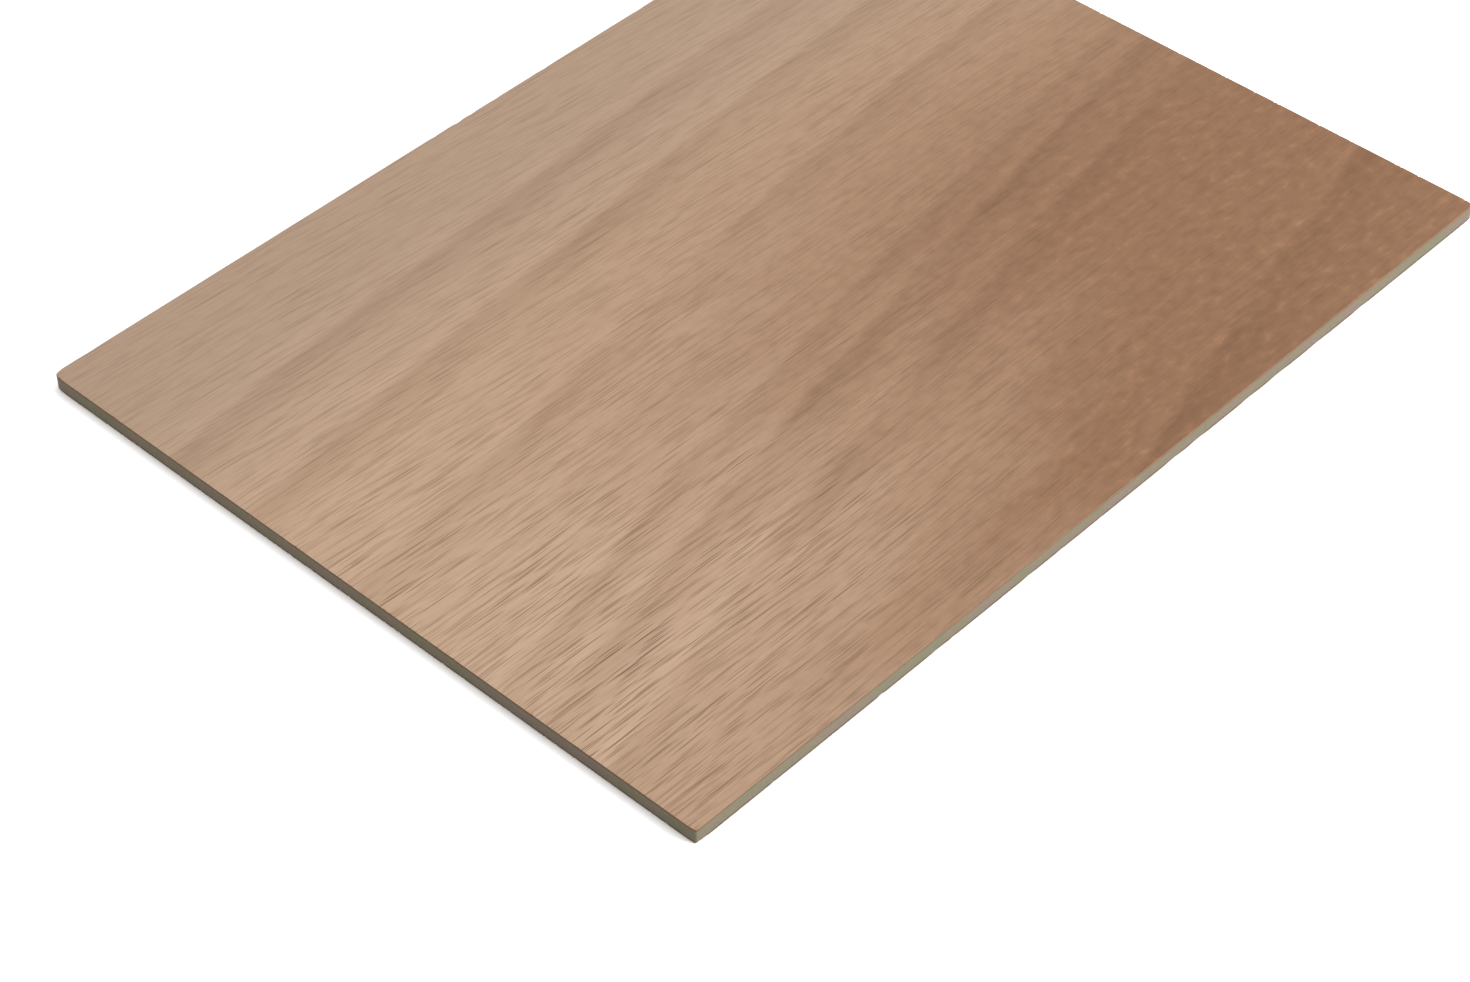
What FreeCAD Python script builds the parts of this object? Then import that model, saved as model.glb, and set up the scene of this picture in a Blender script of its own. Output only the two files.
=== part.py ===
import FreeCAD, Part
import Sketcher
import os

# Mahogany veneered MDF sheet: a fibreboard core with a real wood veneer glued to each face.
#
# The sheet lies flat. Its origin is at the centre of its underside, +X runs along the long side,
# which is also the grain direction of both veneers, +Y runs across the sheet and +Z is up.
# The three layers are pressed together face to face and sawn to size as one board, so they
# share one outline. Millimetres throughout.

DRIVING_SIZES = (
    # alias, value in mm, what it is
    ("sheet_length", 400.0, "outline along the grain"),
    ("sheet_width", 300.0, "outline across the grain"),
    ("core_thickness", 5.0, "fibreboard core"),
    ("face_veneer_thickness", 0.5, "mahogany veneer on the show face"),
    ("back_veneer_thickness", 0.5, "balancing veneer on the underside"),
    ("corner_radius", 0.8, "corners rubbed blunt in plan"),
    ("face_arris_break", 0.12, "sanded break round the show face"),
    ("back_arris_break", 0.12, "sanded break round the underside"),
)

# A line's two ends, and the sketch's own origin point.
START = 1
END = 2
SKETCH_ORIGIN = (-1, START)

# Edges are told apart by their boxes, to within this many millimetres.
TOLERANCE = 1e-6


def cell(alias):
    """Return the expression that reads one driving size."""
    return "Sizes." + alias


def make_sheet_of_sizes(doc):
    """Put every driving size into a spreadsheet, as plain numbers with word aliases."""
    sheet = doc.addObject("Spreadsheet::Sheet", "Sizes")
    for row, (alias, value, meaning) in enumerate(DRIVING_SIZES, start=1):
        sheet.set("A%d" % row, meaning)
        sheet.set("B%d" % row, str(value))
        sheet.setAlias("B%d" % row, alias)
    doc.recompute()


def origin_plane(body, role):
    """Find one of the body's own origin planes by its role."""
    return next(plane for plane in body.Origin.OriginFeatures if plane.Role == role)


def corner_points(length, width):
    """Return the outline's four corners, anticlockwise from (-X, -Y)."""
    half_length = length / 2
    half_width = width / 2
    return [
        FreeCAD.Vector(-half_length, -half_width, 0),
        FreeCAD.Vector(half_length, -half_width, 0),
        FreeCAD.Vector(half_length, half_width, 0),
        FreeCAD.Vector(-half_length, half_width, 0),
    ]


def add_outline(body, sizes):
    """Sketch the sheet's rectangular outline, centred on the origin, on the body's XY plane."""
    sketch = body.newObject("Sketcher::SketchObject", body.Name + "_outline")
    sketch.AttachmentSupport = [(origin_plane(body, "XY_Plane"), "")]
    sketch.MapMode = "FlatFace"
    corners = corner_points(sizes.sheet_length, sizes.sheet_width)
    for index, start in enumerate(corners):
        sketch.addGeometry(Part.LineSegment(start, corners[(index + 1) % len(corners)]), False)
    for index in range(len(corners)):
        following = (index + 1) % len(corners)
        sketch.addConstraint(Sketcher.Constraint("Coincident", index, END, following, START))
    front, right, back, left = range(len(corners))
    for line in (front, back):
        sketch.addConstraint(Sketcher.Constraint("Horizontal", line))
    for line in (right, left):
        sketch.addConstraint(Sketcher.Constraint("Vertical", line))
    sketch.addConstraint(Sketcher.Constraint("Symmetric", front, START, back, START, *SKETCH_ORIGIN))
    length = sketch.addConstraint(
        Sketcher.Constraint("DistanceX", front, START, front, END, sizes.sheet_length))
    width = sketch.addConstraint(
        Sketcher.Constraint("DistanceY", right, START, right, END, sizes.sheet_width))
    sketch.setExpression("Constraints[%d]" % length, cell("sheet_length"))
    sketch.setExpression("Constraints[%d]" % width, cell("sheet_width"))
    return sketch


def upright_edges(shape):
    """Name the edges that run straight up: the four corners of the outline."""
    return [
        "Edge%d" % number
        for number, edge in enumerate(shape.Edges, start=1)
        if edge.BoundBox.DiagonalLength - edge.BoundBox.ZLength < TOLERANCE
    ]


def rim_edges(shape, height):
    """Name the edges that lie at one height: the rim of a face of the layer."""
    return [
        "Edge%d" % number
        for number, edge in enumerate(shape.Edges, start=1)
        if edge.BoundBox.ZLength < TOLERANCE and abs(edge.BoundBox.ZMin - height) < TOLERANCE
    ]


def make_layer(doc, name, thickness_alias, underside, broken_rim=None):
    """Make one layer of the sheet as a body: its outline padded up, with its corners rounded.

    underside is the expression for the layer's lowest height. broken_rim is None, or a pair:
    "top" or "bottom", the outer rim that is sanded, and the alias of that break's size.
    """
    sizes = doc.Sizes
    body = doc.addObject("PartDesign::Body", name)
    body.Label = name
    outline = add_outline(body, sizes)
    pad = body.newObject("PartDesign::Pad", name + "_thickness")
    pad.Profile = outline
    pad.setExpression("Length", cell(thickness_alias))
    doc.recompute()
    corners = body.newObject("PartDesign::Fillet", name + "_corners")
    corners.Base = (pad, upright_edges(pad.Shape))
    corners.setExpression("Radius", cell("corner_radius"))
    doc.recompute()
    if broken_rim:
        side, break_alias = broken_rim
        height = corners.Shape.BoundBox.ZMax if side == "top" else corners.Shape.BoundBox.ZMin
        arris = body.newObject("PartDesign::Chamfer", name + "_arris")
        arris.Base = (corners, rim_edges(corners.Shape, height))
        arris.setExpression("Size", cell(break_alias))
    body.Placement = FreeCAD.Placement()
    body.setExpression("Placement.Base.z", underside)
    doc.recompute()
    return body


def make_sheet(doc):
    """Make the three layers from the floor up, each lying on the one below."""
    back = make_layer(doc, "back_veneer", "back_veneer_thickness", "0", ("bottom", "back_arris_break"))
    core = make_layer(doc, "mdf_core", "core_thickness", cell("back_veneer_thickness"))
    face_height = cell("back_veneer_thickness") + " + " + cell("core_thickness")
    face = make_layer(doc, "face_veneer", "face_veneer_thickness", face_height, ("top", "face_arris_break"))
    return [back, core, face]


def check_document(doc, layers):
    """Stop if any object failed to compute or any layer isn't one valid solid."""
    for item in doc.Objects:
        if "Invalid" in item.State or "Error" in item.State:
            raise RuntimeError("%s failed: %s" % (item.Label, item.State))
    for layer in layers:
        shape = layer.Shape
        if shape.isNull() or not shape.isValid() or len(shape.Solids) != 1:
            raise RuntimeError("%s is not one valid solid" % layer.Label)


def report_layer(layer):
    """Print a layer's box and volume."""
    box = layer.Shape.BoundBox
    print("%-12s X %.2f..%.2f  Y %.2f..%.2f  Z %.2f..%.2f  volume %.1f mm3" % (
        layer.Label, box.XMin, box.XMax, box.YMin, box.YMax, box.ZMin, box.ZMax, layer.Shape.Volume))


def main():
    """Build the document, check it and write each layer to its own STEP file."""
    doc = FreeCAD.newDocument("veneered_sheet")
    make_sheet_of_sizes(doc)
    layers = make_sheet(doc)
    doc.recompute()
    check_document(doc, layers)
    os.makedirs("parts", exist_ok=True)
    for layer in layers:
        layer.Shape.exportStep("parts/%s.step" % layer.Label)
        report_layer(layer)


main()
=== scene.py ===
import logging
import math
from dataclasses import dataclass, field
from enum import Enum
from typing import Any

import bmesh
import bpy
import numpy as np
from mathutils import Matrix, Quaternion, Vector


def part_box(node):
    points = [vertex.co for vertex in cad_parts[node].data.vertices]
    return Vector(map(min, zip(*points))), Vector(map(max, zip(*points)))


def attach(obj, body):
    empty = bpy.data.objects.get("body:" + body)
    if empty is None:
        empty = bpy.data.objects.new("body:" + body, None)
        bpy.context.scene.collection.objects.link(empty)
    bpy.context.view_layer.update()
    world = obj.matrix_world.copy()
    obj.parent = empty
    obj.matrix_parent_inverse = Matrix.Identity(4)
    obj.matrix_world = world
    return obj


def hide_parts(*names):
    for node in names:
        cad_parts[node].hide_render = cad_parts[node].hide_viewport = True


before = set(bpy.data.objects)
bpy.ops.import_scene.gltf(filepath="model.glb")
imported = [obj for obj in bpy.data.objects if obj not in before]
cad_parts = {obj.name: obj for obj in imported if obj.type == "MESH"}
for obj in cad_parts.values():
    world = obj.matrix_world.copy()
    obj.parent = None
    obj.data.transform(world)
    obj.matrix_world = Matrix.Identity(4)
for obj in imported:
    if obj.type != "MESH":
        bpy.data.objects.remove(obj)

# Mahogany veneered fibreboard sheet, lying show face up. Metres throughout, +X along the grain.

LOG = logging.getLogger("veneered_sheet")
MM = 0.001
BODY = "root"


class Side(Enum):
    """Which face of the sheet a veneer is glued to; the value is the way it looks along Z."""

    SHOW = 1
    BACK = -1


# ---------------------------------------------------------------- small shared functions


def linear(colour: str) -> tuple[float, float, float, float]:
    """Turn an sRGB hex colour into linear red, green, blue and an alpha of one.

    Args:
        colour: six hex digits after a hash, such as "#B59A82".

    Returns:
        Four numbers, as a colour socket takes them.
    """
    parts = np.array([int(colour[start:start + 2], 16) for start in (1, 3, 5)]) / 255.0
    low = parts / 12.92
    high = ((parts + 0.055) / 1.055) ** 2.4
    red, green, blue = np.where(parts <= 0.04045, low, high)
    return float(red), float(green), float(blue), 1.0


def add_node(tree: bpy.types.NodeTree, kind: str, settings: dict[str, Any] | None = None,
             inputs: dict[Any, Any] | None = None) -> bpy.types.Node:
    """Add a node, set its own properties, and fill or link its inputs.

    Args:
        tree: the node tree that gets the node.
        kind: the node's type name, such as "ShaderNodeMath".
        settings: property name to value.
        inputs: input name or number to a value, or to the output socket that feeds it.

    Returns:
        The new node.
    """
    node = tree.nodes.new(kind)
    for name, value in (settings or {}).items():
        setattr(node, name, value)
    for name, value in (inputs or {}).items():
        if isinstance(value, bpy.types.NodeSocket):
            tree.links.new(value, node.inputs[name])
        else:
            node.inputs[name].default_value = value
    return node


def fill_ramp(node: bpy.types.Node, stops: list[tuple[float, tuple[float, float, float, float]]]) -> None:
    """Give a colour ramp its stops.

    Args:
        node: the Color Ramp node.
        stops: (position from 0 to 1, linear colour), in rising order.
    """
    elements = node.color_ramp.elements
    while len(elements) > 1:
        elements.remove(elements[-1])
    elements[0].position, elements[0].color = stops[0]
    for position, colour in stops[1:]:
        elements.new(position).color = colour


def stretched_noise(tree: bpy.types.NodeTree, where: bpy.types.NodeSocket,
                    scale: tuple[float, float, float], detail: float, roughness: float = 0.5,
                    shift: tuple[float, float, float] = (0.0, 0.0, 0.0)) -> bpy.types.NodeSocket:
    """Add noise whose cells are stretched by their own scale on each axis.

    Args:
        tree: the node tree.
        where: coordinates in millimetres.
        scale: cells to the millimetre along each axis.
        detail: how many finer octaves are added.
        roughness: how strong each octave is beside the one before.
        shift: offset, in cells.

    Returns:
        The noise, which stays about a half.
    """
    mapped = add_node(tree, "ShaderNodeMapping", {}, {"Vector": where, "Scale": scale, "Location": shift})
    return add_node(tree, "ShaderNodeTexNoise", {}, {
        "Vector": mapped.outputs[0], "Scale": 1.0, "Detail": detail, "Roughness": roughness}).outputs["Fac"]


def showing_rays(tree: bpy.types.NodeTree, path: bpy.types.Node) -> bpy.types.NodeSocket:
    """Tell the rays that show a surface from those that only carry its light elsewhere.

    Args:
        tree: the node tree.
        path: its Light Path node.

    Returns:
        1 for rays that the camera sends, straight or by way of gloss or glass, and 0 for the rest.
    """
    showing = path.outputs["Is Camera Ray"]
    for ray in ("Is Glossy Ray", "Is Transmission Ray"):
        showing = add_node(tree, "ShaderNodeMath", {"operation": "MAXIMUM"}, {
            0: showing, 1: path.outputs[ray]}).outputs[0]
    return showing


def smooth_noise(where: np.ndarray, period: float, pitch: float, rng: np.random.Generator) -> np.ndarray:
    """Smooth noise from 0 to 1 along a closed path.

    Random heights stand one pitch apart round the path, and between two of them the height
    follows a raised cosine.

    Args:
        where: distances along the path.
        period: the path's whole length, after which the noise repeats.
        pitch: about how far apart the random heights stand.
        rng: the random generator.

    Returns:
        One height for each distance.
    """
    count = max(3, round(period / pitch))
    heights = rng.random(count)
    place = (where / period % 1.0) * count
    before = np.floor(place).astype(int) % count
    share = 0.5 - 0.5 * np.cos(np.pi * (place - np.floor(place)))
    return heights[before] * (1.0 - share) + heights[(before + 1) % count] * share


# ---------------------------------------------------------------- the outline that all layers share


@dataclass(frozen=True)
class Outline:
    """The sheet's plan: a rectangle with small round corners, walked anticlockwise.

    Sizes in metres. spacing is how far apart the points stand on the straight runs.
    """

    length: float
    width: float
    corner_radius: float = 0.8 * MM
    spacing: float = 0.6 * MM
    corner_steps: int = 6

    def walk(self) -> dict[str, np.ndarray]:
        """Work out the outline's points as whole arrays, one straight run and one corner at a time.

        A run is evenly spaced between its two corners' tangent points. A corner is a quarter
        circle, centre plus radius times (cos, sin) of an angle that turns by a right angle.

        Returns:
            "point" and "normal" (n, 2), "along" (n,) the distance walked, "heart" (n, 2) the
            nearest point of the sheet's middle line, and "end_grain" (n,) 1 on the short edges.
        """
        half = np.array([self.length, self.width]) / 2.0
        inner = half - self.corner_radius
        signs = np.array([(1, -1), (1, 1), (-1, 1), (-1, -1)])
        points, normals = [], []
        for turn, sign in enumerate(signs):
            run = 2.0 * inner[turn % 2]
            steps = round(run / self.spacing)
            out_angle = math.radians(-90.0 + 90.0 * turn)
            out = np.array([math.cos(out_angle), math.sin(out_angle)])
            ahead = np.array([-out[1], out[0]])
            centre = inner * sign
            end = centre + self.corner_radius * out
            share = np.arange(steps)[:, None] / steps
            points.append(end - ahead * run * (1.0 - share))
            normals.append(np.repeat(out[None], steps, axis=0))
            angle = out_angle + np.radians(90.0) * np.arange(self.corner_steps) / self.corner_steps
            arc = np.stack([np.cos(angle), np.sin(angle)], axis=1)
            points.append(centre + self.corner_radius * arc)
            normals.append(arc)
        point = np.concatenate(points)
        normal = np.concatenate(normals)
        step = np.linalg.norm(np.roll(point, -1, axis=0) - point, axis=1)
        reach = (self.length - self.width) / 2.0
        heart = np.stack([np.clip(point[:, 0], -reach, reach), np.zeros(len(point))], axis=1)
        return {
            "point": point,
            "normal": normal,
            "along": np.cumsum(step) - step,
            "heart": heart,
            "end_grain": np.abs(normal[:, 0]),
        }


@dataclass(frozen=True)
class Wear:
    """What the saw and handling do to an edge. Depths in metres, all taken off the sheet, none added."""

    splinters: int = 520
    splinter_half_width: tuple[float, float] = (0.12 * MM, 0.55 * MM)
    splinter_depth: float = 0.42 * MM
    slivers: int = 110
    sliver_half_width: tuple[float, float] = (1.2 * MM, 6.5 * MM)
    sliver_depth: float = 0.34 * MM
    bruise_depth: float = 0.75 * MM
    bruise_reach: float = 2.4 * MM
    bruise_share: tuple[float, float, float, float] = (0.35, 0.55, 1.0, 0.45)

    def chips(self, walk: dict[str, np.ndarray], rng: np.random.Generator) -> np.ndarray:
        """Depth that has chipped off the veneer's arris at each point of the outline.

        A chip is a tent: its depth falls off in a straight line from its middle to its two ends.
        Where chips meet, the deepest counts. Short ones are on the edges sawn across the grain,
        long shallow ones on the edges sawn along it.

        Args:
            walk: the outline's arrays.
            rng: the random generator.

        Returns:
            One depth for each point of the outline.
        """
        along = walk["along"]
        period = along[-1] + np.linalg.norm(walk["point"][0] - walk["point"][-1])
        depth = np.zeros(len(along))
        kinds = (
            (self.splinters, self.splinter_half_width, self.splinter_depth, walk["end_grain"]),
            (self.slivers, self.sliver_half_width, self.sliver_depth, 1.0 - walk["end_grain"]),
        )
        for count, half_widths, deepest, share in kinds:
            middle = rng.random(count) * period
            half_width = half_widths[0] + (half_widths[1] - half_widths[0]) * rng.random(count) ** 2
            size = deepest * rng.random(count) ** 2.5
            apart = np.abs(along[:, None] - middle[None])
            apart = np.minimum(apart, period - apart)
            tents = size * np.clip(1.0 - apart / half_width, 0.0, 1.0)
            depth = np.maximum(depth, tents.max(axis=1) * share)
        return depth

    def bruises(self, walk: dict[str, np.ndarray], outline: Outline) -> np.ndarray:
        """How far the rubbed corners give way: along each diagonal, by a bell curve of distance.

        Args:
            walk: the outline's arrays.
            outline: the outline's sizes.

        Returns:
            One (x, y) shift for each point of the outline.
        """
        signs = np.array([(-1, -1), (1, -1), (-1, 1), (1, 1)])
        corners = signs * np.array([outline.length, outline.width]) / 2.0
        apart = np.linalg.norm(walk["point"][:, None] - corners[None], axis=2)
        bells = np.exp(-(apart / self.bruise_reach) ** 2) * np.array(self.bruise_share)
        return self.bruise_depth * bells @ (-signs / math.sqrt(2.0))


# ---------------------------------------------------------------- a layer as one closed surface


@dataclass
class Profile:
    """The rows of a layer's surface, from the middle of its upper face out, down and back in.

    Each row has a height, a setback from the outline, a share of the way from the outline to the
    middle line, and how much of the chips, of the bruises and of the saw marks it takes.
    """

    rows: list[tuple[float, float, float, float, float, float]] = field(default_factory=list)
    bruised_share: float = 0.04

    def add(self, height: float, setback: float = 0.0, inward: float = 0.0, chip: float = 0.0,
            bruise: float = 1.0, saw: float = 0.0) -> None:
        """Add one row.

        Args:
            height: the row's height.
            setback: how far it stands in from the outline.
            inward: share of the way to the middle line.
            chip: share of the chips that it takes.
            bruise: share of the bruises.
            saw: share of the saw marks.
        """
        self.rows.append((height, setback, inward, chip, bruise, saw))

    def add_cap(self, height: float, insets: tuple[tuple[float, float], ...],
                shares: tuple[float, ...], outwards: bool) -> None:
        """Add the rows of a flat face, going out to its rim or in from it.

        Args:
            height: the face's height.
            insets: setback and share of the chips for each row near the rim, from the rim inwards.
            shares: shares of the way to the middle line, for the rows further in; ends with 1.
            outwards: True to go from the middle out to the rim.
        """
        rows = [(height, inset, 0.0, chip, 1.0, 0.0) for inset, chip in insets]
        rows += [(height, insets[-1][0], share, 0.0, max(0.0, 1.0 - share / self.bruised_share), 0.0)
                 for share in shares]
        self.rows.extend(reversed(rows) if outwards else rows)

    def columns(self) -> np.ndarray:
        """Return the rows as an array of six columns."""
        return np.array(self.rows)


def carry_profile(name: str, outline: Outline, profile: Profile, chips: np.ndarray, bruises: np.ndarray,
                  saw_marks: np.ndarray) -> bpy.types.Object:
    """Carry a profile round the outline and close it into one shell.

    A row's own ring is outline point - normal * setback, with the setback less than the corners'
    radius. A vertex is ring + share * (middle line - ring) + bruise share * bruise shift - normal *
    (chip share * chip depth + saw share * saw depth), at its row's height less half of chip share
    squared * chip depth. Rows are joined by quads; the first and last rows lie on the middle line,
    where both halves meet and are merged.

    Args:
        name: the piece's name.
        outline: the outline.
        profile: the rows.
        chips: chip depth for each point of the outline.
        bruises: (points, 2) shift of each point of the outline where a corner is rubbed.
        saw_marks: (rows, points) depth of the saw's texture.

    Returns:
        The new object, with a point attribute "rim" that is 1 on the sawn edge and 0 on the faces.
    """
    walk = outline.walk()
    point, normal, heart = walk["point"], walk["normal"], walk["heart"]
    height, setback, inward, chip, bruise, saw = profile.columns().T
    depth = chip[:, None] * chips + saw[:, None] * saw_marks
    ring = point[None] - normal[None] * setback[:, None, None]
    across = ring + inward[:, None, None] * (heart[None] - ring)
    across = across + bruise[:, None, None] * bruises[None] - normal[None] * depth[..., None]
    middle = (height.max() + height.min()) / 2.0
    drop = np.sign(height - middle)[:, None] * 0.5 * chip[:, None] ** 2 * chips
    up = np.broadcast_to(height[:, None], drop.shape) - drop
    vertices = np.concatenate([across, up[..., None]], axis=2).reshape(-1, 3)

    rows, count = depth.shape
    upper = np.arange(rows - 1)[:, None] * count + np.arange(count)[None]
    onward = np.arange(rows - 1)[:, None] * count + (np.arange(count)[None] + 1) % count
    quads = np.stack([upper, upper + count, onward + count, onward], axis=2).reshape(-1, 4)

    mesh = bpy.data.meshes.new(name)
    mesh.vertices.add(len(vertices))
    mesh.vertices.foreach_set("co", vertices.ravel())
    mesh.loops.add(quads.size)
    mesh.loops.foreach_set("vertex_index", quads.ravel())
    mesh.polygons.add(len(quads))
    mesh.polygons.foreach_set("loop_start", np.arange(len(quads)) * 4)
    mesh.polygons.foreach_set("use_smooth", np.ones(len(quads), dtype=bool))
    mesh.update(calc_edges=True)
    rim = mesh.attributes.new("rim", "FLOAT", "POINT")
    on_rim = np.broadcast_to(((setback < 0.05 * MM) & (inward == 0.0))[:, None], depth.shape)
    rim.data.foreach_set("value", on_rim.astype(np.float32).ravel())

    shell = bmesh.new()
    shell.from_mesh(mesh)
    bmesh.ops.remove_doubles(shell, verts=shell.verts, dist=0.001 * MM)
    bmesh.ops.recalc_face_normals(shell, faces=shell.faces)
    shell.to_mesh(mesh)
    shell.free()
    mesh.set_sharp_from_angle(angle=math.radians(40.0))
    mesh.validate()
    piece = bpy.data.objects.new(name, mesh)
    bpy.context.scene.collection.objects.link(piece)
    return piece


# ---------------------------------------------------------------- finishes


@dataclass(frozen=True)
class Streak:
    """One soft dark line of the figure, by its place across the sheet and its depth of tone."""

    level_mm: float
    depth: float
    fade_mm: float = 16.0


@dataclass(frozen=True)
class MahoganyVeneer:
    """Sliced mahogany, sanded and left bare: matt, with open pores that catch the light.

    Pale pinkish tan that deepens to red brown over the sheet, its light left and greyer far edge partly
    painted sheen, dark pore lines a few millimetres long, and soft streaks that cross the pores at a small
    angle.
    """

    name: str
    # pale: the wood's light tan, partly painted sheen that lightens the left of the sheet
    pale: str = "#BF9F83"
    # painted sheen: the tan made greyer towards the far long edge, where light glances off the veneer
    pale_far_sheen: str = "#B1947C"
    deep: str = "#90694B"
    fleck: str = "#A2714F"
    pore: str = "#6B4A35"
    end_grain: str = "#86623F"
    rim: str = "#A57B5B"
    streaks: tuple[Streak, ...] = ()
    figure_slope: float = 0.17
    figure_fan_mm: float = 200.0
    pore_pitch_mm: float = 0.88
    pore_length_mm: float = 17.0
    grain_lean: float = 0.045
    lean_span_mm: float = 240.0
    wander_mm: float = 9.0
    near_edge_depth: float = 0.3
    roughness: float = 0.56
    bump_mm: float = 0.05
    seed: float = 0.0

    def ramp_stops(self) -> list[tuple[float, tuple[float, float, float, float]]]:
        """Turn the streaks into ramp stops over levels from -span to span.

        A streak is a saw tooth: light just above its level, a steep drop to its darkest just
        below, then a slow fade. The tones of all the streaks are added at each stop.

        Returns:
            Positions from 0 to 1 with grey colours, where a half is the plain wood.
        """
        keys = {-FIGURE_SPAN_MM, FIGURE_SPAN_MM}
        for streak in self.streaks:
            keys.update(streak.level_mm + offset for offset in (-streak.fade_mm, -2.0, 2.0, 10.0))
        levels = np.array(sorted(keys))
        tone = np.full(len(levels), 0.5)
        for streak in self.streaks:
            knots = streak.level_mm + np.array([-streak.fade_mm, -2.0, 2.0, 10.0])
            tone += np.interp(levels, knots, np.array([0.0, -1.0, 0.35, 0.0]) * streak.depth)
        place = (levels + FIGURE_SPAN_MM) / (2.0 * FIGURE_SPAN_MM)
        return [(float(p), (float(t), float(t), float(t), 1.0)) for p, t in zip(place, tone)]

    def make(self) -> bpy.types.Material:
        """Build the node material on object coordinates, in millimetres.

        Returns:
            The material.
        """
        material = bpy.data.materials.new(self.name)
        material.use_nodes = True
        tree = material.node_tree
        tree.nodes.clear()
        where = add_node(tree, "ShaderNodeTexCoord").outputs["Object"]
        in_mm = add_node(tree, "ShaderNodeMapping", {}, {
            "Vector": where, "Scale": (1000.0, 1000.0, 1000.0), "Location": (0.0, 0.0, self.seed)})
        # the grain wanders by a few millimetres over the length of the sheet
        wander = stretched_noise(tree, in_mm.outputs[0], (1 / 240.0, 1 / 70.0, 1.0), 1.0)
        split = add_node(tree, "ShaderNodeSeparateXYZ", {}, {0: in_mm.outputs[0]})
        along, across_raw = split.outputs["X"], split.outputs["Y"]
        # the grain leans off the sheet's side towards the far edge: lean * along * (half + across / span)
        lean = add_node(tree, "ShaderNodeMath", {"operation": "MULTIPLY_ADD"}, {
            0: across_raw, 1: self.grain_lean / self.lean_span_mm, 2: self.grain_lean / 2.0}).outputs[0]
        leant = add_node(tree, "ShaderNodeMath", {"operation": "MULTIPLY_ADD"}, {
            0: lean, 1: along, 2: across_raw}).outputs[0]
        across = add_node(tree, "ShaderNodeMath", {"operation": "MULTIPLY_ADD"}, {
            0: wander, 1: self.wander_mm, 2: leant}).outputs[0]
        grain = add_node(tree, "ShaderNodeCombineXYZ", {}, {
            "X": along, "Y": across, "Z": split.outputs["Z"]}).outputs[0]

        figure = self.figure_tone(tree, along, across_raw, grain)
        depth = self.depth_and_painted_sheen(tree, along, across_raw, grain)
        # open grain is crisp at the near left and calms towards the far edge and the deep wood
        crisp = add_node(tree, "ShaderNodeMath", {"operation": "MULTIPLY"}, {
            0: add_node(tree, "ShaderNodeMapRange", {}, {
                0: across_raw, 1: -90.0, 2: 110.0, 3: 1.0, 4: 0.36}).outputs[0],
            1: add_node(tree, "ShaderNodeMapRange", {}, {
                0: depth, 1: 0.0, 2: 1.0, 3: 1.0, 4: 0.26}).outputs[0]}).outputs[0]
        pores = self.pore_lines(tree, grain, crisp)
        fibres = stretched_noise(tree, grain, (1 / 60.0, 1 / 1.0, 1.0), 1.0, 0.5)
        mottle = stretched_noise(tree, grain, (1 / 7.0, 1 / 4.2, 1.0), 4.0, 0.55)
        bands = stretched_noise(tree, grain, (1 / 70.0, 1 / 4.5, 1.0), 3.0, 0.6)

        # fine dark lines, where a stretched noise dips below its middle
        lines = add_node(tree, "ShaderNodeMapRange", {"interpolation_type": "SMOOTHSTEP"}, {
            0: stretched_noise(tree, grain, (1 / 34.0, 1 / 1.25, 1.0), 1.0, 0.4, (7.0, 3.0, 0.0)),
            1: 0.36, 2: 0.42}).outputs[0]

        # ground colour, partly the wood's own and partly painted sheen: light at the left, where painted
        # sheen lightens it, to deep at the right, and greyer towards the far long edge, where painted sheen
        # greys it
        far = add_node(tree, "ShaderNodeMapRange", {"interpolation_type": "SMOOTHSTEP"}, {
            0: across_raw, 1: 20.0, 2: 140.0}).outputs[0]
        pale = add_node(tree, "ShaderNodeMix", {"data_type": "RGBA"}, {
            0: far, 6: linear(self.pale), 7: linear(self.pale_far_sheen)}).outputs[2]
        ground_and_sheen = add_node(tree, "ShaderNodeMix", {"data_type": "RGBA"}, {
            0: depth, 6: pale, 7: linear(self.deep)}).outputs[2]
        fleck_mask = add_node(tree, "ShaderNodeMath", {"operation": "MULTIPLY", "use_clamp": True}, {
            0: add_node(tree, "ShaderNodeMapRange", {"interpolation_type": "SMOOTHSTEP"}, {
                0: mottle, 1: 0.56, 2: 0.74}).outputs[0],
            1: add_node(tree, "ShaderNodeMath", {"operation": "MULTIPLY_ADD"}, {
                0: depth, 1: 0.48, 2: 0.12}).outputs[0]}).outputs[0]
        flecked = add_node(tree, "ShaderNodeMix", {"data_type": "RGBA"}, {
            0: fleck_mask, 6: ground_and_sheen, 7: linear(self.fleck)}).outputs[2]
        # tone: each pattern lightens or darkens the ground around one, by its swing
        fibre_swing, line_swing = (
            add_node(tree, "ShaderNodeMath", {"operation": "MULTIPLY"}, {0: crisp, 1: swing}).outputs[0]
            for swing in (0.34, 0.26))
        mottle_swing = add_node(tree, "ShaderNodeMath", {"operation": "MULTIPLY_ADD"}, {
            0: depth, 1: 0.50, 2: 0.18}).outputs[0]
        swings = ((figure, 1.1), (fibres, fibre_swing), (lines, line_swing),
                  (mottle, mottle_swing), (bands, 0.10))
        tone = None
        for pattern, swing in swings:
            about_zero = add_node(tree, "ShaderNodeMath", {"operation": "SUBTRACT"}, {
                0: pattern, 1: 0.5}).outputs[0]
            factor = add_node(tree, "ShaderNodeMath", {"operation": "MULTIPLY_ADD"}, {
                0: about_zero, 1: swing, 2: 1.0}).outputs[0]
            tone = factor if tone is None else add_node(tree, "ShaderNodeMath", {
                "operation": "MULTIPLY"}, {0: tone, 1: factor}).outputs[0]
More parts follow.
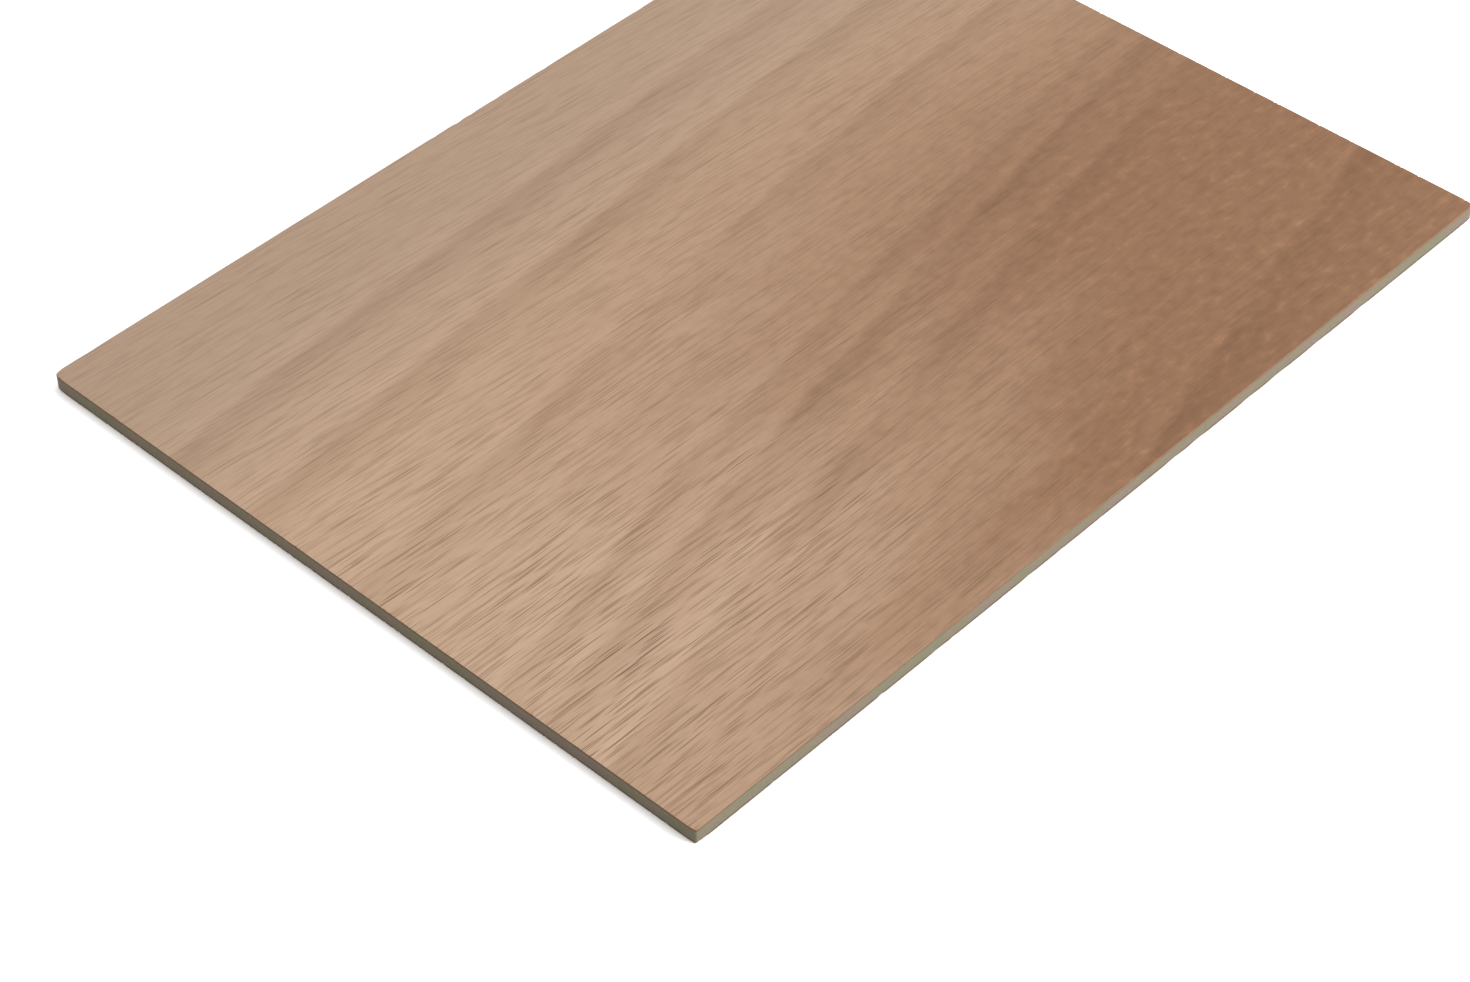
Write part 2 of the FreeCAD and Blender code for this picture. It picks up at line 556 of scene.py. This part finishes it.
        # where the tone falls, green and blue fall faster, so dark wood is brown and not grey
        tint = add_node(tree, "ShaderNodeCombineXYZ", {}, {
            axis: add_node(tree, "ShaderNodeMath", {"operation": "POWER"}, {0: tone, 1: power}).outputs[0]
            for axis, power in (("X", 0.9), ("Y", 1.1), ("Z", 1.3))})
        toned = add_node(tree, "ShaderNodeVectorMath", {"operation": "MULTIPLY"}, {
            0: flecked, 1: tint.outputs[0]}).outputs[0]
        porous = add_node(tree, "ShaderNodeMix", {"data_type": "RGBA"}, {
            0: pores, 6: toned, 7: linear(self.pore)}).outputs[2]
        colour = self.sawn_rim(tree, porous, grain)

        height = add_node(tree, "ShaderNodeMath", {"operation": "SUBTRACT"}, {
            0: add_node(tree, "ShaderNodeMath", {"operation": "MULTIPLY"}, {0: fibres, 1: 0.5}).outputs[0],
            1: pores}).outputs[0]
        bump = add_node(tree, "ShaderNodeBump", {}, {
            "Height": height, "Distance": self.bump_mm * MM, "Strength": 0.6})
        rough = add_node(tree, "ShaderNodeMapRange", {}, {
            0: pores, 1: 0.0, 2: 1.0, 3: self.roughness, 4: self.roughness + 0.25})
        shader = add_node(tree, "ShaderNodeBsdfPrincipled", {}, {
            "Base Color": colour, "Roughness": rough.outputs[0], "Normal": bump.outputs[0],
            "Specular IOR Level": 0.35, "IOR": 1.5})
        add_node(tree, "ShaderNodeOutputMaterial", {}, {"Surface": shader.outputs[0]})
        return material

    def figure_tone(self, tree: bpy.types.NodeTree, along: bpy.types.NodeSocket,
                    across: bpy.types.NodeSocket, grain: bpy.types.NodeSocket) -> bpy.types.NodeSocket:
        """Tone of the slanting figure: the ramp of streaks read at a level across the sheet.

        The level is across - slope * along * (1 - across / fan), so the streaks climb along the
        grain, more steeply towards the near edge. Noise pushes it about by a few millimetres.

        Args:
            tree: the node tree.
            along: millimetres along the grain.
            across: millimetres across it.
            grain: the wandering grain coordinates.

        Returns:
            A tone, a half where the wood is plain.
        """
        fan = add_node(tree, "ShaderNodeMath", {"operation": "MULTIPLY_ADD"}, {
            0: across, 1: -1.0 / self.figure_fan_mm, 2: 1.0}).outputs[0]
        climb = add_node(tree, "ShaderNodeMath", {"operation": "MULTIPLY"}, {0: along, 1: fan}).outputs[0]
        level = add_node(tree, "ShaderNodeMath", {"operation": "MULTIPLY_ADD"}, {
            0: climb, 1: -self.figure_slope, 2: across}).outputs[0]
        push = stretched_noise(tree, grain, (1 / 70.0, 1 / 16.0, 1.0), 5.0, 0.55)
        pushed = add_node(tree, "ShaderNodeMath", {"operation": "MULTIPLY_ADD"}, {
            0: push, 1: 8.0, 2: level}).outputs[0]
        place = add_node(tree, "ShaderNodeMapRange", {}, {
            0: pushed, 1: -FIGURE_SPAN_MM + 4.0, 2: FIGURE_SPAN_MM + 4.0}).outputs[0]
        ramp = add_node(tree, "ShaderNodeValToRGB", {}, {0: place})
        fill_ramp(ramp, self.ramp_stops())
        # the streaks come and go along their length
        strength = stretched_noise(tree, grain, (1 / 70.0, 1 / 22.0, 1.0), 2.0)
        away = add_node(tree, "ShaderNodeMath", {"operation": "SUBTRACT"}, {
            0: ramp.outputs[0], 1: 0.5}).outputs[0]
        scaled = add_node(tree, "ShaderNodeMath", {"operation": "MULTIPLY"}, {
            0: away, 1: add_node(tree, "ShaderNodeMapRange", {}, {
                0: strength, 1: 0.3, 2: 0.7, 3: 0.45, 4: 1.35}).outputs[0]}).outputs[0]
        return add_node(tree, "ShaderNodeMath", {"operation": "ADD"}, {0: scaled, 1: 0.5}).outputs[0]

    def depth_and_painted_sheen(self, tree: bpy.types.NodeTree, along: bpy.types.NodeSocket,
                        across: bpy.types.NodeSocket, grain: bpy.types.NodeSocket) -> bpy.types.NodeSocket:
        """How far the surface has gone from light to deep: partly the wood's own colour, and partly painted
        sheen that lightens the left of the sheet.

        A smooth step along times one across, and a small smooth step towards the near long edge.

        Args:
            tree: the node tree.
            along: millimetres along the grain.
            across: millimetres across it.
            grain: the wandering grain coordinates.

        Returns:
            0 where the surface is lightest, with the most painted sheen, 1 where it is deep.
        """
        cloud = stretched_noise(tree, grain, (1 / 60.0, 1 / 20.0, 1.0), 3.0)
        pushed = add_node(tree, "ShaderNodeMath", {"operation": "MULTIPLY_ADD"}, {
            0: cloud, 1: 110.0, 2: along}).outputs[0]
        # the light left is partly painted sheen and partly the wood, which deepens towards the right
        step_along = add_node(tree, "ShaderNodeMapRange", {"interpolation_type": "SMOOTHSTEP"}, {
            0: pushed, 1: -150.0, 2: 180.0}).outputs[0]
        step_across = add_node(tree, "ShaderNodeMapRange", {"interpolation_type": "SMOOTHSTEP"}, {
            0: across, 1: 130.0, 2: -60.0}).outputs[0]
        near_edge = add_node(tree, "ShaderNodeMapRange", {"interpolation_type": "SMOOTHSTEP"}, {
            0: across, 1: -85.0, 2: -150.0, 3: 0.0, 4: self.near_edge_depth}).outputs[0]
        return add_node(tree, "ShaderNodeMath", {"operation": "MULTIPLY_ADD", "use_clamp": True}, {
            0: step_along, 1: step_across, 2: near_edge}).outputs[0]

    def pore_lines(self, tree: bpy.types.NodeTree, grain: bpy.types.NodeSocket,
                   crisp: bpy.types.NodeSocket) -> bpy.types.NodeSocket:
        """Dark dashes along the grain, each one round the middle of a long thin cell.

        Two layers of scattered cells, a finer and a coarser one. A cell is one pitch across the
        grain and two pore lengths along it, and its dash ends where the distance from its middle,
        in cells, passes the layer's reach.

        Args:
            tree: the node tree.
            grain: the wandering grain coordinates.
            crisp: how much the pores stand out, from 0 to 1.

        Returns:
            Up to 1 inside a pore, 0 between them.
        """
        dashes = None
        for size, reach in ((1.0, 0.22), (1.7, 0.19)):
            cell = (size * 2.0 * self.pore_length_mm, size * self.pore_pitch_mm)
            apart = add_node(tree, "ShaderNodeTexVoronoi", {"voronoi_dimensions": "2D"}, {
                "Vector": add_node(tree, "ShaderNodeMapping", {}, {
                    "Vector": grain, "Scale": (1.0 / cell[0], 1.0 / cell[1], 1.0),
                    "Location": (size * 31.0 + self.seed, size * 17.0, 0.0)}).outputs[0],
                "Scale": 1.0}).outputs["Distance"]
            dash = add_node(tree, "ShaderNodeMapRange", {"interpolation_type": "SMOOTHSTEP"}, {
                0: apart, 1: reach, 2: reach * 0.45}).outputs[0]
            dashes = dash if dashes is None else add_node(tree, "ShaderNodeMath", {
                "operation": "MAXIMUM"}, {0: dashes, 1: dash}).outputs[0]
        crowding = add_node(tree, "ShaderNodeMapRange", {}, {
            0: stretched_noise(tree, grain, (1 / 45.0, 1 / 7.0, 1.0), 2.0),
            1: 0.32, 2: 0.66, 3: 0.34, 4: 0.78}).outputs[0]
        strength = add_node(tree, "ShaderNodeMath", {"operation": "MULTIPLY"}, {
            0: crowding, 1: crisp}).outputs[0]
        return add_node(tree, "ShaderNodeMath", {"operation": "MULTIPLY"}, {
            0: dashes, 1: strength}).outputs[0]

    def sawn_rim(self, tree: bpy.types.NodeTree, face: bpy.types.NodeSocket,
                 grain: bpy.types.NodeSocket) -> bpy.types.NodeSocket:
        """Colour of the veneer where it is sawn: cut pores look dark on the ends, redder on the sides.

        Args:
            tree: the node tree.
            face: the face's colour.
            grain: the wandering grain coordinates.

        Returns:
            The colour for the whole layer.
        """
        looks = add_node(tree, "ShaderNodeSeparateXYZ", {}, {
            0: add_node(tree, "ShaderNodeNewGeometry").outputs["True Normal"]})
        ends = add_node(tree, "ShaderNodeMath", {"operation": "ABSOLUTE"}, {
            0: looks.outputs["X"]}).outputs[0]
        cut = add_node(tree, "ShaderNodeMix", {"data_type": "RGBA"}, {
            0: ends, 6: linear(self.rim), 7: linear(self.end_grain)}).outputs[2]
        speckle = add_node(tree, "ShaderNodeTexNoise", {}, {
            "Vector": grain, "Scale": 1 / 0.7, "Detail": 3.0}).outputs["Fac"]
        speckled = add_node(tree, "ShaderNodeVectorMath", {"operation": "SCALE"}, {
            0: cut, "Scale": add_node(tree, "ShaderNodeMapRange", {}, {
                0: speckle, 1: 0.3, 2: 0.7, 3: 0.82, 4: 1.18}).outputs[0]}).outputs[0]
        rim = add_node(tree, "ShaderNodeAttribute", {"attribute_name": "rim"}).outputs["Fac"]
        return add_node(tree, "ShaderNodeMix", {"data_type": "RGBA"}, {
            0: rim, 6: face, 7: speckled}).outputs[2]


@dataclass(frozen=True)
class FibreboardEdge:
    """Medium density fibreboard, sawn: khaki felted fibre, matt, denser and darker near its faces."""

    name: str = "sawn fibreboard"
    fibre: str = "#A79A84"
    fibre_green: str = "#9F9A80"
    fibre_pink: str = "#AA9888"
    skin: str = "#83725C"
    glue: str = "#5F4D3D"
    skin_mm: float = 0.7
    glue_mm: float = 0.09
    roughness: float = 0.85

    def make(self, low: float, high: float) -> bpy.types.Material:
        """Build the node material on object coordinates.

        Args:
            low: height of the core's underside, in metres.
            high: height of its upper face, in metres.

        Returns:
            The material.
        """
        material = bpy.data.materials.new(self.name)
        material.use_nodes = True
        tree = material.node_tree
        tree.nodes.clear()
        where = add_node(tree, "ShaderNodeTexCoord").outputs["Object"]
        in_mm = add_node(tree, "ShaderNodeMapping", {}, {
            "Vector": where, "Scale": (1000.0, 1000.0, 1000.0)}).outputs[0]
        fibres = stretched_noise(tree, in_mm, (1 / 1.4, 1 / 1.4, 1 / 0.35), 5.0, 0.7)
        patch = stretched_noise(tree, in_mm, (1 / 14.0, 1 / 14.0, 1 / 6.0), 2.0)
        tint = add_node(tree, "ShaderNodeValToRGB", {}, {0: patch})
        fill_ramp(tint, [(0.32, linear(self.fibre_green)), (0.5, linear(self.fibre)),
                         (0.68, linear(self.fibre_pink))])
        # distance in from the nearer face of the core, in millimetres
        height = add_node(tree, "ShaderNodeSeparateXYZ", {}, {0: in_mm}).outputs["Z"]
        off_middle = add_node(tree, "ShaderNodeMath", {"operation": "ABSOLUTE"}, {
            0: add_node(tree, "ShaderNodeMath", {"operation": "SUBTRACT"}, {
                0: height, 1: (low + high) / 2.0 / MM}).outputs[0]}).outputs[0]
        half = (high - low) / 2.0 / MM
        skin = add_node(tree, "ShaderNodeMapRange", {"interpolation_type": "SMOOTHSTEP"}, {
            0: off_middle, 1: half - self.skin_mm, 2: half, 3: 0.0, 4: 0.55}).outputs[0]
        skinned = add_node(tree, "ShaderNodeMix", {"data_type": "RGBA"}, {
            0: skin, 6: tint.outputs[0], 7: linear(self.skin)}).outputs[2]
        glue = add_node(tree, "ShaderNodeMapRange", {}, {
            0: off_middle, 1: half - self.glue_mm, 2: half - self.glue_mm * 0.6, 3: 0.0, 4: 0.8}).outputs[0]
        glued = add_node(tree, "ShaderNodeMix", {"data_type": "RGBA"}, {
            0: glue, 6: skinned, 7: linear(self.glue)}).outputs[2]
        toned = add_node(tree, "ShaderNodeVectorMath", {"operation": "SCALE"}, {
            0: glued, "Scale": add_node(tree, "ShaderNodeMapRange", {}, {
                0: fibres, 1: 0.3, 2: 0.7, 3: 0.86, 4: 1.12}).outputs[0]}).outputs[0]
        bump = add_node(tree, "ShaderNodeBump", {}, {
            "Height": fibres, "Distance": 0.12 * MM, "Strength": 0.7})
        shader = add_node(tree, "ShaderNodeBsdfPrincipled", {}, {
            "Base Color": toned, "Roughness": self.roughness, "Normal": bump.outputs[0],
            "Specular IOR Level": 0.25, "IOR": 1.5})
        add_node(tree, "ShaderNodeOutputMaterial", {}, {"Surface": shader.outputs[0]})
        return material


FIGURE_SPAN_MM = 240.0

SHOW_FINISH = MahoganyVeneer(
    name="bare mahogany veneer, show face",
    streaks=(
        Streak(108.0, 0.15),
        Streak(76.0, 0.14),
        Streak(33.0, 0.12),
        Streak(-21.0, 0.09),
        Streak(-37.0, 0.15),
        Streak(-61.0, 0.12),
        Streak(-152.0, 0.16, fade_mm=36.0),
    ),
)

BACK_FINISH = MahoganyVeneer(
    name="bare mahogany veneer, underside",
    # partly painted shade: the underside veneer's sawn rim and end grain are darkened to stand in for the
    # shade and contact shadow along the bottom of the sheet's edge
    rim="#6A5342",
    end_grain="#5C4838",
    pale="#A98A70",
    pale_far_sheen="#A3866F",
    deep="#936C50",
    streaks=(
        Streak(120.0, 0.14),
        Streak(84.0, 0.10),
        Streak(41.0, 0.16),
        Streak(2.0, 0.08),
        Streak(-46.0, 0.14),
        Streak(-90.0, 0.12),
        Streak(-131.0, 0.15),
    ),
    figure_slope=-0.06,
    figure_fan_mm=520.0,
    seed=61.0,
)


# ---------------------------------------------------------------- the layers of the sheet


@dataclass
class VeneerLayer:
    """One veneer: a flat face whose outer arris is sanded, chipped by the saw and rubbed at the corners."""

    node: str
    side: Side
    finish: MahoganyVeneer
    outline: Outline
    wear: Wear
    seed: int
    arris_radius: float = 0.16 * MM
    arris_steps: int = 4
    side_steps: int = 2
    rim_insets: tuple[tuple[float, float], ...] = ((0.24 * MM, 0.9), (0.46 * MM, 0.5))
    glued_insets: tuple[tuple[float, float], ...] = ((0.02 * MM, 0.0),)
    inward_shares: tuple[float, ...] = (0.012, 0.04, 0.12, 0.25, 0.45, 0.7, 1.0)

    def profile(self) -> Profile:
        """Work out the rows for this layer, from the top down.

        The outer arris is a quarter circle, setback = r (1 - cos a) and height = outer face -
        r (1 - sin a). The glued rim is square.

        Returns:
            The profile, always written from the upper face to the lower one.
        """
        low, high = (corner.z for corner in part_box(self.node))
        outer, inner = (high, low) if self.side is Side.SHOW else (low, high)
        way = self.side.value
        profile = Profile()
        profile.add_cap(outer, self.rim_insets, self.inward_shares, outwards=True)
        for angle in np.radians(np.linspace(90.0, 0.0, self.arris_steps + 1)):
            setback = self.arris_radius * (1.0 - math.cos(angle))
            height = outer - way * self.arris_radius * (1.0 - math.sin(angle))
            profile.add(height, setback, chip=1.0)
        arris_foot = outer - way * self.arris_radius
        for share in np.linspace(0.0, 1.0, self.side_steps + 1)[1:]:
            profile.add(arris_foot + share * (inner - arris_foot), chip=0.9 * (1.0 - share), saw=1.0)
        profile.add_cap(inner, self.glued_insets, (0.5, 1.0), outwards=False)
        if self.side is Side.BACK:
            profile.rows.reverse()
        return profile

    def build(self) -> bpy.types.Object:
        """Build the layer, dress it and put it in the frame.

        Returns:
            The piece.
        """
        rng = np.random.default_rng(self.seed)
        walk = self.outline.walk()
        chips = self.wear.chips(walk, rng)
        bruises = self.wear.bruises(walk, self.outline)
        profile = self.profile()
        period = walk["along"][-1] + self.outline.spacing
        lengthwise = smooth_noise(walk["along"], period, 1.4 * MM, rng)
        saw_marks = np.broadcast_to(0.03 * MM * lengthwise, (len(profile.rows), len(lengthwise)))
        piece = carry_profile(self.node + "_sheet", self.outline, profile, chips, bruises, saw_marks)
        piece.data.materials.append(self.finish.make())
        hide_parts(self.node)
        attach(piece, BODY)
        LOG.info("%s: %d faces, %s", piece.name, len(piece.data.polygons), self.side.name.lower())
        return piece


@dataclass
class CoreLayer:
    """The fibreboard core: square rims under the veneers, and a sawn edge with faint blade marks."""

    node: str
    finish: FibreboardEdge
    outline: Outline
    wear: Wear
    seed: int
    edge_steps: int = 14
    glued_insets: tuple[tuple[float, float], ...] = ((0.02 * MM, 0.0),)
    blade_pitch: float = 1.3 * MM
    blade_depth: float = 0.035 * MM
    fuzz_depth: float = 0.05 * MM

    def profile(self) -> Profile:
        """Work out the core's rows: upper face, straight edge, lower face.

        Returns:
            The profile.
        """
        low, high = (corner.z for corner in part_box(self.node))
        profile = Profile()
        profile.add_cap(high, self.glued_insets, (0.5, 1.0), outwards=True)
        for height in np.linspace(high, low, self.edge_steps + 1):
            profile.add(height, saw=1.0)
        profile.add_cap(low, self.glued_insets, (0.5, 1.0), outwards=False)
        return profile

    def sawn_texture(self, walk: dict[str, np.ndarray], rows: int, rng: np.random.Generator) -> np.ndarray:
        """Depth of the sawn edge at each row and point.

        Blade marks are a wave along the edge that leans a little from row to row; torn fibres are
        smooth noise with its own draw in each row.

        Args:
            walk: the outline's arrays.
            rows: how many rows the profile has.
            rng: the random generator.

        Returns:
            (rows, points) depths.
        """
        along = walk["along"]
        period = along[-1] + self.outline.spacing
        turns = round(period / self.blade_pitch)
        lean = np.arange(rows)[:, None] * 0.16
        blade = 0.5 + 0.5 * np.sin(2.0 * np.pi * turns * along[None] / period + lean)
        swell = smooth_noise(along, period, 18.0 * MM, rng)[None]
        torn = np.stack([smooth_noise(along, period, 1.1 * MM, rng) for _ in range(rows)])
        return self.blade_depth * blade * swell + self.fuzz_depth * torn ** 2

    def build(self) -> bpy.types.Object:
        """Build the core, dress it and put it in the frame.

        Returns:
            The piece.
        """
        rng = np.random.default_rng(self.seed)
        walk = self.outline.walk()
        profile = self.profile()
        chips = np.zeros(len(walk["along"]))
        bruises = self.wear.bruises(walk, self.outline)
        saw_marks = self.sawn_texture(walk, len(profile.rows), rng)
        piece = carry_profile(self.node + "_board", self.outline, profile, chips, bruises, saw_marks)
        low, high = (corner.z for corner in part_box(self.node))
        piece.data.materials.append(self.finish.make(low, high))
        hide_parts(self.node)
        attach(piece, BODY)
        LOG.info("%s: %d faces", piece.name, len(piece.data.polygons))
        return piece


# ---------------------------------------------------------------- camera, floor and lights


@dataclass(frozen=True)
class Viewpoint:
    """Where the camera stands, by what it aims at. Metres and degrees."""

    aim: tuple[float, float, float] = (-0.0855, -0.0585, 0.006)
    distance: float = 1.160
    azimuth: float = -46.4
    elevation: float = 43.55
    roll: float = -0.60
    lens_mm: float = 87.3

    def place(self) -> bpy.types.Object:
        """Make the camera and look along the view direction, rolled a little about it.

        Returns:
            The camera.
        """
        azimuth, elevation = math.radians(self.azimuth), math.radians(self.elevation)
        back = Vector((math.sin(azimuth) * math.cos(elevation),
                       -math.cos(azimuth) * math.cos(elevation), math.sin(elevation)))
        data = bpy.data.cameras.new("camera")
        data.lens = self.lens_mm
        data.sensor_width = 36.0
        data.clip_start = 0.05
        data.clip_end = 30.0
        camera = bpy.data.objects.new("camera", data)
        camera.location = Vector(self.aim) + back * self.distance
        camera.rotation_mode = "QUATERNION"
        roll = Quaternion((0.0, 0.0, 1.0), math.radians(self.roll))
        camera.rotation_quaternion = (-back).to_track_quat("-Z", "Y") @ roll
        bpy.context.scene.collection.objects.link(camera)
        bpy.context.scene.camera = camera
        return camera


@dataclass(frozen=True)
class Softbox:
    """A large soft lamp that faces the sheet."""

    name: str
    place: tuple[float, float, float]
    size: float
    watts: float

    def hang(self) -> bpy.types.Object:
        """Make the lamp and turn it to the middle of the sheet.

        Returns:
            The lamp.
        """
        data = bpy.data.lights.new(self.name, "AREA")
        data.shape = "SQUARE"
        data.size = self.size
        data.energy = self.watts
        lamp = bpy.data.objects.new(self.name, data)
        lamp.location = self.place
        lamp.rotation_mode = "QUATERNION"
        lamp.rotation_quaternion = (-Vector(self.place)).to_track_quat("-Z", "Y")
        bpy.context.scene.collection.objects.link(lamp)
        return lamp


@dataclass
class Studio:
    """A pale floor under an even sky, with one lamp above and one beside the long edge."""

    viewpoint: Viewpoint = Viewpoint()
    lamps: tuple[Softbox, ...] = (
        Softbox("overhead", (0.3, 0.2, 1.9), 1.6, 13.0),
        Softbox("beside", (0.8, -1.6, 1.0), 1.3, 27.0),
    )
    sky: float = 0.42
    floor_half_width: float = 4.0
    floor_drop: float = 0.15 * MM
    floor_albedo: str = "#A0A0A0"
    floor_clear: float = 0.35 * MM
    floor_seen_tone: float = 1.75

    def build(self) -> None:
        """Place the camera, the floor, the lamps and the sky, and set how colours are shown."""
        self.viewpoint.place()
        self.lay_floor()
        for lamp in self.lamps:
            lamp.hang()
        self.light_sky()
        bpy.context.scene.view_settings.view_transform = "Standard"

    def lay_floor(self) -> bpy.types.Object:
        """Lay a large plain floor just under the sheet.

        Seen from below it lets everything through, and light for what all but touches it passes
        too, so that the underside can be looked at.

        Returns:
            The floor.
        """
        half = self.floor_half_width
        corners = np.array([(-half, -half), (half, -half), (half, half), (-half, half)])
        vertices = np.column_stack([corners, np.full(4, -self.floor_drop)])
        mesh = bpy.data.meshes.new("floor")
        mesh.from_pydata(vertices.tolist(), [], [(0, 1, 2, 3)])
        material = bpy.data.materials.new("matt paper floor")
        material.use_nodes = True
        tree = material.node_tree
        tree.nodes.clear()
        path = add_node(tree, "ShaderNodeLightPath")
        tone = add_node(tree, "ShaderNodeMix", {"data_type": "RGBA"}, {
            0: showing_rays(tree, path), 6: linear(self.floor_albedo),
            7: (*[self.floor_seen_tone] * 3, 1.0)})
        lit = add_node(tree, "ShaderNodeBsdfDiffuse", {}, {"Color": tone.outputs[2]})
        clear = add_node(tree, "ShaderNodeBsdfTransparent")
        below = add_node(tree, "ShaderNodeNewGeometry").outputs["Backfacing"]
        grazing = add_node(tree, "ShaderNodeMath", {"operation": "LESS_THAN"}, {
            0: path.outputs["Ray Length"], 1: self.floor_clear}).outputs[0]
        gone = add_node(tree, "ShaderNodeMath", {"operation": "MAXIMUM"}, {0: below, 1: grazing}).outputs[0]
        sided = add_node(tree, "ShaderNodeMixShader", {}, {
            0: gone, 1: lit.outputs[0], 2: clear.outputs[0]})
        add_node(tree, "ShaderNodeOutputMaterial", {}, {"Surface": sided.outputs[0]})
        mesh.materials.append(material)
        floor = bpy.data.objects.new("floor", mesh)
        bpy.context.scene.collection.objects.link(floor)
        return floor

    def light_sky(self) -> None:
        """Light the scene with an even sky, and show it white where the camera sees it."""
        world = bpy.data.worlds.new("sky")
        world.use_nodes = True
        tree = world.node_tree
        tree.nodes.clear()
        path = add_node(tree, "ShaderNodeLightPath")
        strength = add_node(tree, "ShaderNodeMapRange", {}, {
            0: showing_rays(tree, path), 3: self.sky, 4: 1.0})
        back = add_node(tree, "ShaderNodeBackground", {}, {
            "Color": (1.0, 1.0, 1.0, 1.0), "Strength": strength.outputs[0]})
        add_node(tree, "ShaderNodeOutputWorld", {}, {"Surface": back.outputs[0]})
        bpy.context.scene.world = world


def main() -> None:
    """Build the studio and the three layers, from the floor up."""
    logging.basicConfig(level=logging.INFO, format="%(name)s: %(message)s")
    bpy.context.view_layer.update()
    Studio().build()
    low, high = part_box("mdf_core")
    outline = Outline(length=high.x - low.x, width=high.y - low.y)
    wear = Wear()
    VeneerLayer("back_veneer", Side.BACK, BACK_FINISH, outline, wear, seed=11).build()
    CoreLayer("mdf_core", FibreboardEdge(), outline, wear, seed=23).build()
    VeneerLayer("face_veneer", Side.SHOW, SHOW_FINISH, outline, wear, seed=37).build()


if __name__ == "__main__":
    main()
